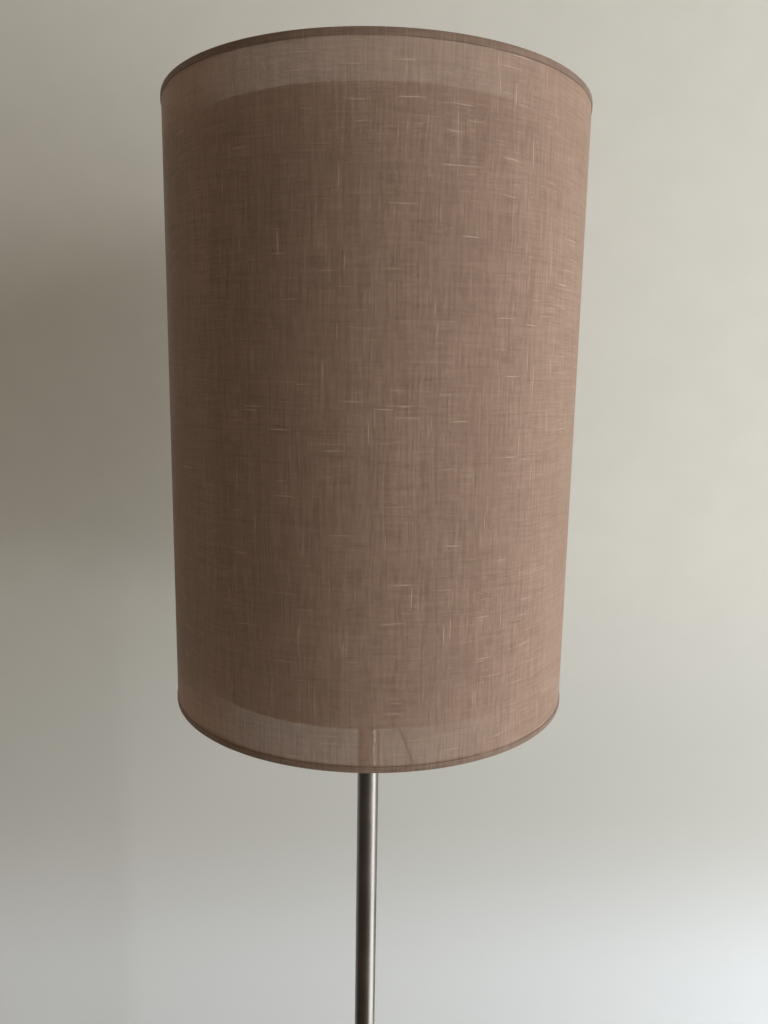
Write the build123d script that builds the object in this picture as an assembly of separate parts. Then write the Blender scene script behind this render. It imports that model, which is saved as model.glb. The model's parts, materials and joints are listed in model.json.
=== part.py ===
from build123d import *

import os
from math import cos, radians, sin

# Floor lamp with a tall double drum shade on a slim brushed pole and a round weighted foot.
# Millimetres, +Z up, origin on the floor at the centre of the foot. -Y is the front, +Y the back.

# ---------------------------------------------------------------- driving dimensions
SHADE_DIAMETER = 350.0
SHADE_HEIGHT = 500.0
SHADE_BOTTOM_Z = 1060.0
DIFFUSER_DIAMETER = 310.0
DIFFUSER_INSET = 25.0          # the inner tube stops this far short of both rims
POLE_DIAMETER = 20.0
POLE_WALL = 1.5
BASE_DIAMETER = 280.0
BASE_TOP_Z = 25.0
POLE_JOINT_Z = 540.0
POLE_TOP_Z = 1050.0
FRONT_ARM_AZIMUTH = -78.5      # degrees from +X, the outer arm nearest the lamp's front
ARM_COUNT = 3
RUN_GAP = 0.3                  # clearance between pieces that move past each other

# ---------------------------------------------------------------- shared sizes
POLE_RADIUS = POLE_DIAMETER / 2
POLE_BORE = POLE_RADIUS - POLE_WALL
BASE_RADIUS = BASE_DIAMETER / 2
NIPPLE_RADIUS = 5.0            # M10 x 1 hollow threaded tube
NIPPLE_BORE = 3.75
NIPPLE_PITCH = 1.0
NIPPLE_DEPTH = 0.35
WIRE_RADIUS = 1.1
WIRE_OFFSET = 1.4              # each core's distance from the pole's centreline

PAD_TOP_Z = 3.0
PAD_INNER_RADIUS = 60.0
PAD_OUTER_RADIUS = 134.0
COVER_SHEET = 1.2
COVER_HEM_Z = 1.5
COVER_SHOULDER_Z = 16.0
COVER_EDGE_Z = 22.0
COVER_EDGE_INSET = 6.0
COVER_EDGE_RADIUS = 6.6
COVER_CROWN = 0.675            # how much of the dome's rise is reached half way in
COVER_FLAT_RADIUS = 24.0
WEIGHT_RADIUS = 136.0
WEIGHT_TOP_Z = 19.6
WEIGHT_CHAMFER = 3.5
POCKET_RADIUS = 44.0
POCKET_TOP_Z = 15.0
INLET_Z = 9.4
INLET_BORE = 3.6
INLET_NECK = 5.0
INLET_FLANGE = 6.4
CHANNEL_WIDTH = 9.0
PLATE_RADIUS = 52.0
PLATE_SHEET = 1.2
PLATE_SCREW_RADIUS = 1.5
PLATE_SCREW_ANGLES = (30, 150, 270)
COLLAR_HEIGHT = 12.0
COLLAR_FOOT_RADIUS = 19.0
COLLAR_NECK_RADIUS = 12.6
NUT_FLATS = 14.0
NUT_HEIGHT = 3.0
WASHER_SHEET = 1.2
LOCK_WASHER_SHEET = 0.8
LOCK_TEETH = 12

FLANGE_TOP_Z = SHADE_BOTTOM_Z + 27.7
HUB_SHEET = 1.5
HUB_RIM = 2.0                  # height of the hub plates' turned rims
HUB_BOTTOM_Z = FLANGE_TOP_Z + RUN_GAP
HUB_RADIUS = 30.0
HOLDER_RADIUS = 20.0           # the threaded skirt that passes through the hubs
HUB_BORE = HOLDER_RADIUS + 0.6
HOLDER_TOP_Z = FLANGE_TOP_Z + 37.0
DOME_RADIUS = 21.0
DOME_WALL = 2.0
SWITCH_Z = POLE_TOP_Z + 23.0
SWITCH_AZIMUTH = FRONT_ARM_AZIMUTH + 60.0
SHAFT_RADIUS = 2.5

SHADE_RADIUS = SHADE_DIAMETER / 2
SHADE_TOP_Z = SHADE_BOTTOM_Z + SHADE_HEIGHT
TAPE = 0.5                     # hem tape
CLOTH = 0.6                    # woven shade cloth
FILM = 0.4                     # clear laminating film behind the cloth
HEM_HEIGHT = 5.0
HOOP_WIRE = 1.5                # radius of the outer hoops' wire
ARM_WIRE = 1.5
DIFFUSER_RADIUS = DIFFUSER_DIAMETER / 2
DIFFUSER_SHEET = 0.8
INNER_WIRE = 1.25              # radius of the inner hoops' wire

THREAD_PITCH = 3.62            # the rolled screw thread of the bulb cap and its shell
CAP_CREST = 13.1
CAP_ROOT = 12.15
SHELL_CREST = 12.5
SHELL_ROOT = 13.45
SHELL_SHEET = 0.4
SHELL_BOTTOM_Z = FLANGE_TOP_Z + 9.2
CAP_BOTTOM_Z = SHELL_BOTTOM_Z + 2 * THREAD_PITCH   # whole turns up, so that the two threads lie in phase
EYELET_Z = CAP_BOTTOM_Z - 4.0
GLOBE_RADIUS = 30.0

BOTTOM_ALIGNED = (Align.CENTER, Align.CENTER, Align.MIN)
TOP_ALIGNED = (Align.CENTER, Align.CENTER, Align.MAX)

parts = {}


# ---------------------------------------------------------------- helpers
def keep(name, shape):
    """Files a finished sub-part under its node's name."""
    parts[name] = shape


def disc(radius, bottom, top):
    """An upright solid cylinder between two heights."""
    return Pos(0, 0, bottom) * Cylinder(radius, top - bottom, align=BOTTOM_ALIGNED)


def ring(outer, inner, bottom, top):
    """An upright hollow cylinder between two heights."""
    return disc(outer, bottom, top) - disc(inner, bottom - 1, top + 1)


def turned(line):
    """Spins a closed outline of (radius, height) about the lamp's centreline."""
    return revolve(make_face(Plane.XZ * line), Axis.Z)


def turned_points(*points):
    """Spins a straight-sided outline about the lamp's centreline."""
    return turned(Polyline(*points, close=True))


def hoop(centre_radius, wire_radius, height):
    """A closed ring of round wire."""
    return Pos(0, 0, height) * Torus(centre_radius, wire_radius)


def screw_ridges(crest, root, pitch, bottom, turns):
    """Outline points of a V-shaped screw thread, from the bottom up."""
    points = []
    for turn in range(turns):
        points.append((root, bottom + turn * pitch))
        points.append((crest, bottom + (turn + 0.5) * pitch))
    points.append((root, bottom + turns * pitch))
    return points


def nipple(bottom, top):
    """A hollow threaded tube that carries the wires through a screwed joint."""
    turns = int((top - bottom) / NIPPLE_PITCH)
    ridges = screw_ridges(NIPPLE_RADIUS, NIPPLE_RADIUS - NIPPLE_DEPTH, NIPPLE_PITCH, bottom, turns)
    return turned_points((NIPPLE_BORE, bottom), *ridges, (NIPPLE_BORE, bottom + turns * NIPPLE_PITCH))


def hexagon_nut(across_flats, bore, bottom, top):
    """A plain hexagon nut."""
    blank = extrude(RegularPolygon(across_flats / 2, 6, major_radius=False), top - bottom)
    return Pos(0, 0, bottom) * blank - disc(bore, bottom - 1, top + 1)


def insert(bottom, top):
    """A bush pressed into a pole end, tapped for a nipple."""
    return ring(POLE_BORE, NIPPLE_RADIUS, bottom, top)


def outward(azimuth, radius, height):
    """A location at that radius and height, its local Z pointing away from the centreline."""
    return Rot(0, 0, azimuth) * Pos(radius, 0, height) * Rot(0, 90, 0)


def wire(points, radii, radius):
    """A round wire along straight runs joined by tangent arcs."""
    path = FilletPolyline(*points, radius=radii)
    start = Plane(origin=path @ 0, z_dir=path % 0)
    return sweep(start * Circle(radius), path=path)


def pan_screws(places, head_radius, head_height, shank_radius, shank_length, seat):
    """Slotted pan-head screws driven from below: their heads hang under one seat height."""
    group = []
    for x, y in places:
        head = Cylinder(head_radius, head_height, align=TOP_ALIGNED)
        head -= Pos(0, 0, -head_height) * Box(3 * head_radius, 0.3 * head_radius, head_height)
        head = fillet(head.edges().filter_by(GeomType.CIRCLE).sort_by(Axis.Z)[0:1], 0.2 * head_radius)
        shank = Cylinder(shank_radius, shank_length, align=BOTTOM_ALIGNED)
        group.append(Pos(x, y, seat) * (head + shank))
    return Compound(children=[screw.solid() for screw in group])


# ---------------------------------------------------------------- the foot
def cover_body(inset):
    """The foot's domed outside, or its inside when inset by the sheet's thickness."""
    wall = BASE_RADIUS - inset
    edge = (BASE_RADIUS - COVER_EDGE_INSET, COVER_EDGE_Z - inset)
    flat = (COVER_FLAT_RADIUS, BASE_TOP_Z - inset)
    crown = ((edge[0] + flat[0]) / 2, edge[1] + COVER_CROWN * (flat[1] - edge[1]))
    bottom = COVER_HEM_Z - inset
    side = Line((wall, bottom), (wall, COVER_SHOULDER_Z))
    shoulder = RadiusArc((wall, COVER_SHOULDER_Z), edge, -(COVER_EDGE_RADIUS - inset))
    dome = ThreePointArc(edge, crown, flat)
    rest = Polyline(flat, (0, flat[1]), (0, bottom), (wall, bottom))
    return turned(Wire([side, shoulder, dome, *rest.edges()]))


def make_foot():
    keep("floor_pad", ring(PAD_OUTER_RADIUS, PAD_INNER_RADIUS, 0, PAD_TOP_Z))

    inlet = outward(90, BASE_RADIUS, INLET_Z)
    cover = cover_body(0) - cover_body(COVER_SHEET)
    cover -= disc(NIPPLE_RADIUS + 0.2, 0, BASE_TOP_Z + 1)
    cover -= inlet * Cylinder(INLET_NECK, 12)
    keep("base_cover", cover)

    weight = disc(WEIGHT_RADIUS, PAD_TOP_Z, WEIGHT_TOP_Z)
    top_edge = weight.edges().filter_by(GeomType.CIRCLE).sort_by(Axis.Z)[-1]
    weight = chamfer(top_edge, WEIGHT_CHAMFER)
    weight += disc(COVER_FLAT_RADIUS - 2, WEIGHT_TOP_Z, BASE_TOP_Z - COVER_SHEET)
    weight -= disc(POCKET_RADIUS, 0, POCKET_TOP_Z)
    weight -= disc(PLATE_RADIUS + 0.5, 0, PAD_TOP_Z + PLATE_SHEET)
    weight -= disc(NIPPLE_RADIUS + 0.2, 0, BASE_TOP_Z)
    channel_top = INLET_Z + CHANNEL_WIDTH / 2
    weight -= Pos(0, BASE_RADIUS / 2 + 15, channel_top / 2) * Box(CHANNEL_WIDTH, BASE_RADIUS, channel_top)
    weight -= inlet * Cylinder(INLET_FLANGE + 1, 14)
    screw_circle = (PLATE_RADIUS + POCKET_RADIUS) / 2
    places = [(screw_circle * cos(radians(a)), screw_circle * sin(radians(a))) for a in PLATE_SCREW_ANGLES]
    for x, y in places:
        weight -= Pos(x, y, PAD_TOP_Z) * Cylinder(PLATE_SCREW_RADIUS, 18)
    keep("base_weight", weight)

    plate = disc(PLATE_RADIUS, PAD_TOP_Z, PAD_TOP_Z + PLATE_SHEET)
    for x, y in places:
        plate -= Pos(x, y, PAD_TOP_Z) * Cylinder(PLATE_SCREW_RADIUS + 0.2, 6)
    keep("service_plate", plate)
    keep("service_screws", pan_screws(places, 2.8, 1.6, PLATE_SCREW_RADIUS, 7, PAD_TOP_Z))
    make_pole_collar()
    make_foot_fasteners()
    keep("cord_grommet", inlet * inlet_grommet())


def make_pole_collar():
    """A flared trim ring that hides the joint of pole and foot."""
    bore = POLE_RADIUS + 0.1
    collar = turned_points(
        (bore, BASE_TOP_Z), (COLLAR_FOOT_RADIUS, BASE_TOP_Z), (COLLAR_FOOT_RADIUS, BASE_TOP_Z + 2.5),
        (COLLAR_FOOT_RADIUS - 1.2, BASE_TOP_Z + 4), (COLLAR_NECK_RADIUS, BASE_TOP_Z + 8),
        (COLLAR_NECK_RADIUS, BASE_TOP_Z + COLLAR_HEIGHT), (bore, BASE_TOP_Z + COLLAR_HEIGHT))
    keep("pole_collar", fillet(collar.edges().filter_by(GeomType.CIRCLE).sort_by(Axis.Z)[-2:], 0.6))


def make_foot_fasteners():
    """The nipple that screws into the pole, with its washers and nut under the weight."""
    bore = NIPPLE_RADIUS + 0.2
    washer_z = POCKET_TOP_Z - WASHER_SHEET
    lock_z = washer_z - LOCK_WASHER_SHEET
    tooth_radius = 8.6
    keep("foot_nipple", nipple(lock_z - NUT_HEIGHT - 1.0, BASE_TOP_Z + 13))
    keep("foot_washer", ring(11, bore, washer_z, POCKET_TOP_Z))
    toothed = ring(tooth_radius, bore, lock_z, washer_z)
    for tooth in range(LOCK_TEETH):
        notch = Pos(tooth_radius, 0, washer_z) * Box(2.4, 1.2, 3 * LOCK_WASHER_SHEET)
        toothed -= Rot(0, 0, tooth * 360 / LOCK_TEETH) * notch
    keep("foot_lock_washer", toothed)
    keep("foot_nut", hexagon_nut(NUT_FLATS, NIPPLE_RADIUS, lock_z - NUT_HEIGHT, lock_z))


def inlet_grommet():
    """A rubber bush about local Z, its lips outside and inside the cover's wall."""
    outer_lip = 2.2
    inner_lip = 2.0
    inner_end = -COVER_SHEET - RUN_GAP - inner_lip
    length = RUN_GAP + outer_lip - inner_end
    bush = Pos(0, 0, inner_end) * Cylinder(INLET_NECK - 0.05, length, align=BOTTOM_ALIGNED)
    lip = Cylinder(INLET_FLANGE, outer_lip, align=BOTTOM_ALIGNED)
    lip = fillet(lip.edges().filter_by(GeomType.CIRCLE).sort_by(Axis.Z)[-1], 1.2)
    bush += Pos(0, 0, RUN_GAP) * lip
    bush += Pos(0, 0, inner_end) * Cylinder(INLET_FLANGE, inner_lip, align=BOTTOM_ALIGNED)
    return bush - Cylinder(INLET_BORE, 30)


def make_terminal_block():
    """A two-pole screw terminal; returns where a core leaves it, as (y, z, half the pitch)."""
    centre_y = 29.0
    length = 13.0
    base_z = PAD_TOP_Z + PLATE_SHEET
    barrel_z = base_z + 4.2
    barrel_radius = 2.6
    core_radius = 1.5
    screw_radius = 1.3
    screw_length = 3.6
    pitch = 10.0
    housing = Pos(0, centre_y, base_z) * Box(20, length, 9.6, align=BOTTOM_ALIGNED)
    housing = fillet(housing.edges().filter_by(Axis.Z), 1.5)
    barrels = []
    screws = []
    for side in (-1, 1):
        across = Pos(side * pitch / 2, centre_y, barrel_z) * Rot(90, 0, 0)
        housing -= across * Cylinder(barrel_radius, 20)
        barrel = across * (Cylinder(barrel_radius, 10) - Cylinder(core_radius, 12))
        for end in (-1, 1):
            seat = Pos(side * pitch / 2, centre_y + end * 3, barrel_z)
            hole = Cylinder(screw_radius, 12, align=BOTTOM_ALIGNED)
            barrel -= seat * hole
            housing -= seat * hole
            screw = Cylinder(screw_radius, screw_length, align=BOTTOM_ALIGNED)
            screw -= Pos(0, 0, screw_length) * Box(3, 0.5, 1.2)
            screws.append((seat * Pos(0, 0, core_radius + 0.05) * screw).solid())
        barrels.append(barrel.solid())
    keep("terminal_block", housing)
    keep("terminal_barrels", Compound(children=barrels))
    keep("terminal_screws", Compound(children=screws))
    return centre_y - length / 2, barrel_z, pitch / 2


# ---------------------------------------------------------------- the pole
def pole_tube(bottom, top):
    """A length of pole with broken outer edges, which show as a fine seam at a joint."""
    bevel = 0.35
    return turned_points(
        (POLE_BORE, bottom), (POLE_RADIUS - bevel, bottom), (POLE_RADIUS, bottom + bevel),
        (POLE_RADIUS, top - bevel), (POLE_RADIUS - bevel, top), (POLE_BORE, top))


def make_pole():
    length = 16.0
    keep("lower_pole", pole_tube(BASE_TOP_Z, POLE_JOINT_Z))
    keep("upper_pole", pole_tube(POLE_JOINT_Z, POLE_TOP_Z))
    keep("lower_pole_foot_insert", insert(BASE_TOP_Z, BASE_TOP_Z + length))
    keep("lower_pole_top_insert", insert(POLE_JOINT_Z - length, POLE_JOINT_Z))
    keep("upper_pole_foot_insert", insert(POLE_JOINT_Z, POLE_JOINT_Z + length))
    keep("upper_pole_top_insert", insert(POLE_TOP_Z - length, POLE_TOP_Z))
    keep("joint_nipple", nipple(POLE_JOINT_Z - 12, POLE_JOINT_Z + 12))
    keep("holder_nipple", nipple(POLE_TOP_Z - 12, POLE_TOP_Z + 8))


# ---------------------------------------------------------------- the lamp holder
def make_holder():
    neck_z = POLE_TOP_Z
    seat_z = FLANGE_TOP_Z - 4.0
    outside = turned_points(
        (0, neck_z), (11, neck_z), (12, neck_z + 1), (12, neck_z + 7), (DOME_RADIUS, neck_z + 14),
        (DOME_RADIUS, seat_z), (17.5, seat_z), (17.5, seat_z + 5), (0, seat_z + 5))
    inside = turned_points(
        (0, neck_z + 9), (10, neck_z + 9), (DOME_RADIUS - DOME_WALL, neck_z + 16),
        (DOME_RADIUS - DOME_WALL, seat_z - 2), (15.5, seat_z - 1), (15.5, seat_z + 6), (0, seat_z + 6))
    dome = outside - inside
    dome -= disc(NIPPLE_RADIUS, neck_z - 1, neck_z + 12)
    dome -= outward(SWITCH_AZIMUTH, DOME_RADIUS, SWITCH_Z) * Cylinder(SHAFT_RADIUS + RUN_GAP, 10)
    keep("holder_dome", dome)

    flange = 26.0
    bore = 17.8
    thread_start = FLANGE_TOP_Z + 2.0
    ridges = screw_ridges(HOLDER_RADIUS, HOLDER_RADIUS - 0.9, 2.5, thread_start, 12)
    skirt = turned_points(
        (bore, seat_z), (flange - 0.8, seat_z), (flange, seat_z + 0.8), (flange, FLANGE_TOP_Z - 0.8),
        (flange - 0.8, FLANGE_TOP_Z), (HOLDER_RADIUS, FLANGE_TOP_Z), (HOLDER_RADIUS, FLANGE_TOP_Z + 1.5),
        *ridges, (HOLDER_RADIUS - 0.9, HOLDER_TOP_Z), (bore, HOLDER_TOP_Z))
    keep("holder_skirt", skirt)

    floor_z = FLANGE_TOP_Z + 3.0
    core = disc(17.6, floor_z, HOLDER_TOP_Z - 1.5) - disc(14.6, floor_z + 6.0, HOLDER_TOP_Z)
    terminals = [(-9, 9), (-9, -9)]
    for x, y in terminals:
        core -= Pos(x, y, floor_z) * Cylinder(1.6, 9)
    core -= Pos(0, 0, floor_z) * Cylinder(1.6, 20)
    keep("holder_core", core)
    keep("holder_core_screws", pan_screws(terminals, 3.0, 2.0, 1.6, 4.5, floor_z))

    keep("screw_shell", rolled_shell(SHELL_BOTTOM_Z, 6))

    contact_z = floor_z + 6.0
    tab = Pos(0, 0, contact_z) * Box(5, 16, 0.5, align=BOTTOM_ALIGNED)
    dimple = Pos(0, 0, contact_z + 0.5) * Cylinder(2.4, EYELET_Z - RUN_GAP - contact_z - 0.5,
                                                    align=BOTTOM_ALIGNED)
    rivet = Cylinder(1.6, 7.5, align=TOP_ALIGNED)
    keep("centre_contact", tab + dimple + Pos(0, 0, contact_z) * rivet)


def rolled_wave(crest_in, crest_out, bottom, turns, upward=True):
    """Arcs that bulge out and in by turns, as a thread rolled in sheet metal does."""
    middle = (crest_in + crest_out) / 2
    half = THREAD_PITCH / 2
    arcs = []
    for step in range(2 * turns):
        low = bottom + step * half
        peak = crest_out if step % 2 == 0 else crest_in
        arcs.append(ThreePointArc((middle, low), (peak, low + half / 2), (middle, low + half)))
    return arcs


def rolled_shell(bottom, turns):
    """A screw shell of thin rolled sheet, with a plain lip at its top."""
    inner = rolled_wave(SHELL_CREST, SHELL_ROOT, bottom, turns)
    outer = rolled_wave(SHELL_CREST + SHELL_SHEET, SHELL_ROOT + SHELL_SHEET, bottom, turns)
    top = bottom + turns * THREAD_PITCH
    middle = (SHELL_CREST + SHELL_ROOT) / 2
    bottom_edge = Line((middle, bottom), (middle + SHELL_SHEET, bottom))
    top_edge = Line((middle, top), (middle + SHELL_SHEET, top))
    return turned(Wire([*inner, top_edge, *outer, bottom_edge]))


def make_switch():
    """The turn switch: everything here except the contacts turns with the knob."""
    place = outward(SWITCH_AZIMUTH, 0, SWITCH_Z)
    knob_start = DOME_RADIUS + 1.0
    knob = Pos(0, 0, knob_start) * Cylinder(6.5, 13, align=BOTTOM_ALIGNED)
    grip_count = 16
    for rib in range(grip_count):
        groove = Pos(6.5, 0, knob_start + 8.5) * Cylinder(0.6, 12)
        knob -= Rot(0, 0, rib * 360 / grip_count) * groove
    knob = fillet(knob.faces().sort_by(Axis.Z)[-1].edges(), 0.35)
    bore = Pos(0, 0, knob_start - 1) * Cylinder(SHAFT_RADIUS, 10, align=BOTTOM_ALIGNED)
    keep("switch_knob", place * (knob - bore))

    shaft = Pos(0, 0, 9.0) * Cylinder(SHAFT_RADIUS, knob_start, align=BOTTOM_ALIGNED)
    keep("switch_shaft", place * shaft)

    rotor = Pos(0, 0, 4.5) * Cylinder(6.0, 4.5, align=BOTTOM_ALIGNED)
    rotor += Pos(0, 0, 9.0) * (Cylinder(4.2, 3.5, align=BOTTOM_ALIGNED)
                               - Cylinder(SHAFT_RADIUS, 3.5, align=BOTTOM_ALIGNED))
    rotor -= Pos(0, 0, 4.5) * Box(3.0, 14, 2.0, align=BOTTOM_ALIGNED)
    keep("switch_rotor", place * rotor)

    leaves = []
    for side in (-1, 1):
        leaf = Pos(0, side * 8.0, 6.5) * Box(9, 0.4, 5)
        foot = Pos(-4.7, side * 6.8, 6.5) * Box(0.4, 2.8, 5)
        leaves.append((place * (leaf + foot)).solid())
    keep("switch_contacts", Compound(children=leaves))


def make_wires(block_y, block_z, block_x):
    """Two insulated cores, from the terminal block up the pole to the lamp holder."""
    floor_z = block_z - 1.5
    turn_z = POLE_TOP_Z + 17.0
    end_z = FLANGE_TOP_Z - 1.8
    radii = [6.0, 6.0, 4.5, 6.0, 6.0]
    for name, side in (("live_wire", 1), ("neutral_wire", -1)):
        near = side * WIRE_OFFSET
        points = [
            (side * block_x, block_y, block_z), (side * block_x, block_y - 7, block_z),
            (near, 7, floor_z), (near, 0, floor_z), (near, 0, turn_z),
            (-9.0, side * 6.0, turn_z + 10), (-9.0, side * 9.0, end_z)]
        keep(name, wire(points, radii, WIRE_RADIUS))


def make_retaining_ring():
    bottom = HUB_BOTTOM_Z + 2 * HUB_SHEET + RUN_GAP
    height = 10.0
    outer = 26.5
    bore = HOLDER_RADIUS + 0.35
    collar = ring(outer, bore, bottom, bottom + height)
    collar = chamfer(collar.edges().filter_by(GeomType.CIRCLE).sort_by(SortBy.RADIUS)[-2:], 0.8)
    notch_count = 24
    for notch in range(notch_count):
        groove = Pos(outer + 0.6, 0, bottom + height / 2) * Cylinder(1.6, height + 2)
        collar -= Rot(0, 0, notch * 360 / notch_count) * groove
    keep("retaining_ring", collar)


# ---------------------------------------------------------------- the bulb
def make_bulb():
    cap_bottom = CAP_BOTTOM_Z
    turns = 5
    cap_top = cap_bottom + turns * THREAD_PITCH
    middle = (CAP_CREST + CAP_ROOT) / 2
    wall = 0.5
    rim_z = cap_top + 3.0
    outside = rolled_wave(CAP_ROOT, CAP_CREST, cap_bottom, turns)
    inside_radius = CAP_ROOT - wall
    rest = Polyline((middle, cap_top), (middle, rim_z), (inside_radius, rim_z), (inside_radius, cap_bottom),
                    (middle, cap_bottom))
    keep("bulb_cap", turned(Wire([*outside, *rest.edges()])))

    keep("bulb_insulator", turned_points(
        (0, EYELET_Z + 1.2), (4.8, EYELET_Z + 1.2), (middle, cap_bottom), (inside_radius, cap_bottom),
        (inside_radius, cap_bottom + 1.5), (0, cap_bottom + 1.5)))
    keep("bulb_eyelet", fillet(disc(4.8, EYELET_Z, EYELET_Z + 1.2).edges().sort_by(Axis.Z)[0], 0.8))

    neck_radius = 14.2
    skirt_z = rim_z + 4.0
    shoulder_z = rim_z + 34.0
    shoulder_radius = GLOBE_RADIUS - 2.6
    housing_wall = 2.0
    outer_end = (shoulder_radius, shoulder_z)
    inner_end = (shoulder_radius - housing_wall, shoulder_z)
    ways = [(0, 1), (0.55, 1)]
    outer_flare = Spline((neck_radius, skirt_z), (17.0, rim_z + 14), outer_end, tangents=ways)
    inner_flare = Spline((inside_radius, skirt_z), (15.0, rim_z + 15), inner_end, tangents=ways)
    skirt = Polyline((inside_radius, skirt_z), (inside_radius, rim_z), (neck_radius, rim_z),
                     (neck_radius, skirt_z))
    keep("bulb_collar", turned(Wire([outer_flare, Line(outer_end, inner_end), inner_flare, *skirt.edges()])))

    globe_z = shoulder_z + 14.0
    shell = 1.2
    outer = Pos(0, 0, globe_z) * Sphere(GLOBE_RADIUS)
    inner = Pos(0, 0, globe_z) * Sphere(GLOBE_RADIUS - shell)
    keep("bulb_globe", outer - inner - disc(2 * GLOBE_RADIUS, shoulder_z - 60, shoulder_z + 0.05))

    board_z = shoulder_z - 1.6
    keep("bulb_led_board", disc(shoulder_radius - 3.2, board_z, board_z + 1.2))
    keep("bulb_driver_board", Pos(0, 0, cap_bottom + 2) * Box(
        1.6, 18, board_z - cap_bottom - 3, align=BOTTOM_ALIGNED))


# ---------------------------------------------------------------- the shade
def make_outer_shade():
    tape_face = SHADE_RADIUS
    cloth_face = tape_face - TAPE
    film_face = cloth_face - CLOTH
    film_bore = film_face - FILM
    low = SHADE_BOTTOM_Z + TAPE
    high = SHADE_TOP_Z - TAPE
    keep("shade_fabric", ring(cloth_face, film_face, low, high))
    keep("shade_film", ring(film_face, film_bore, low, high))

    hoop_radius = film_bore - HOOP_WIRE
    tuck = hoop_radius - HOOP_WIRE
    keep("outer_bottom_hoop", hoop(hoop_radius, HOOP_WIRE, low + HOOP_WIRE))
    keep("outer_top_hoop", hoop(hoop_radius, HOOP_WIRE, high - HOOP_WIRE))

    for name, rim, way in (("bottom_hem_tape", SHADE_BOTTOM_Z, 1), ("top_hem_tape", SHADE_TOP_Z, -1)):
        keep(name, turned_points(
            (tape_face, rim), (tape_face, rim + way * HEM_HEIGHT), (cloth_face, rim + way * HEM_HEIGHT),
            (cloth_face, rim + way * TAPE), (tuck, rim + way * TAPE), (tuck, rim)))
    return hoop_radius, low + HOOP_WIRE


def make_carrier(name, hub_z, way, first_azimuth, hoop_radius, hoop_z, hoop_wire):
    """A hub plate with a turned rim, up or down, and the wire arms that reach from the rim to a hoop."""
    far_face = hub_z + (HUB_SHEET + HUB_RIM if way > 0 else -HUB_RIM)
    near_face = hub_z if way > 0 else hub_z + HUB_SHEET
    rim = ring(HUB_RADIUS, HUB_RADIUS - HUB_SHEET, min(far_face, near_face), max(far_face, near_face))
    hub = ring(HUB_RADIUS, HUB_BORE, hub_z, hub_z + HUB_SHEET) + rim
    keep(name + "_hub", hub)
    arm_z = (far_face + near_face) / 2
    for number in range(ARM_COUNT):
        line = Line((HUB_RADIUS - 2, 0, arm_z), (hoop_radius, 0, hoop_z))
        arm = sweep(Plane(origin=line @ 0, z_dir=line % 0) * Circle(ARM_WIRE), path=line)
        arm -= disc(HUB_RADIUS, hub_z - 10, hub_z + 10)
        arm -= hoop(hoop_radius, hoop_wire, hoop_z)
        arm = arm.solids().sort_by(SortBy.VOLUME)[-1]
        keep(f"{name}_arm_{number + 1}", Rot(0, 0, first_azimuth + number * 360 / ARM_COUNT) * arm)


def make_inner_shade():
    low = SHADE_BOTTOM_Z + DIFFUSER_INSET
    high = SHADE_TOP_Z - DIFFUSER_INSET
    bore = DIFFUSER_RADIUS - DIFFUSER_SHEET
    hoop_radius = bore - INNER_WIRE
    keep("inner_diffuser", ring(DIFFUSER_RADIUS, bore, low, high))
    keep("inner_bottom_hoop", hoop(hoop_radius, INNER_WIRE, low + INNER_WIRE))
    keep("inner_top_hoop", hoop(hoop_radius, INNER_WIRE, high - INNER_WIRE))
    return hoop_radius, low + INNER_WIRE


def make_shade():
    radius, height = make_outer_shade()
    make_carrier("outer", HUB_BOTTOM_Z, -1, FRONT_ARM_AZIMUTH, radius, height, HOOP_WIRE)
    radius, height = make_inner_shade()
    make_carrier("inner", HUB_BOTTOM_Z + HUB_SHEET, 1, FRONT_ARM_AZIMUTH + 60, radius, height, INNER_WIRE)


make_foot()
lead_start = make_terminal_block()
make_pole()
make_holder()
make_switch()
make_wires(*lead_start)
make_retaining_ring()
make_bulb()
make_shade()

os.makedirs("parts", exist_ok=True)
for node, shape in parts.items():
    export_step(shape, f"parts/{node}.step")
print(len(parts), "nodes written")
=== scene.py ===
import json
from math import asin, atan2, cos, degrees, pi, radians, sin, sqrt

import bpy
from mathutils import Matrix, Vector

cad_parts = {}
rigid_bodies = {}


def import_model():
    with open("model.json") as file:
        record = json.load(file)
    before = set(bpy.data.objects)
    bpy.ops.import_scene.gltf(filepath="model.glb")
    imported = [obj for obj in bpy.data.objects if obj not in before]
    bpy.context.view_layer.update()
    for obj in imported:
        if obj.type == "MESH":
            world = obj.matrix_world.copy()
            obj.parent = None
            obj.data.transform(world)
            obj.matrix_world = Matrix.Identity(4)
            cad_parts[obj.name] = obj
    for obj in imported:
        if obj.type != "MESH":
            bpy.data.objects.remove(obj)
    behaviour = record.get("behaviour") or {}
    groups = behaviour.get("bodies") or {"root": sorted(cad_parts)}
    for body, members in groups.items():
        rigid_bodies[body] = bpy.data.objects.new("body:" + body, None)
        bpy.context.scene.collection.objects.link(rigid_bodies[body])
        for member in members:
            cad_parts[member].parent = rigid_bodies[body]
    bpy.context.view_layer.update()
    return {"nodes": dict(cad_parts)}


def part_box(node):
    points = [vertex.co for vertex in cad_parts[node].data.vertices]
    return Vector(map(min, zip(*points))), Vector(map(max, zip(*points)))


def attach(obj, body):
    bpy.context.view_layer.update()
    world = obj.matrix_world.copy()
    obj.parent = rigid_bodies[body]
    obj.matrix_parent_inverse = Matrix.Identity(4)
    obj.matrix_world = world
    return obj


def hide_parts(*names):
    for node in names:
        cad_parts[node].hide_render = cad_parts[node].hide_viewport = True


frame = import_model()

mm = 0.001

# the places that every piece is built from, read off the frame
hemLow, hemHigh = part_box("bottom_hem_tape")
shadeBottom = hemLow.z
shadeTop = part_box("top_hem_tape")[1].z
shadeRadius = hemHigh.x


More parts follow.
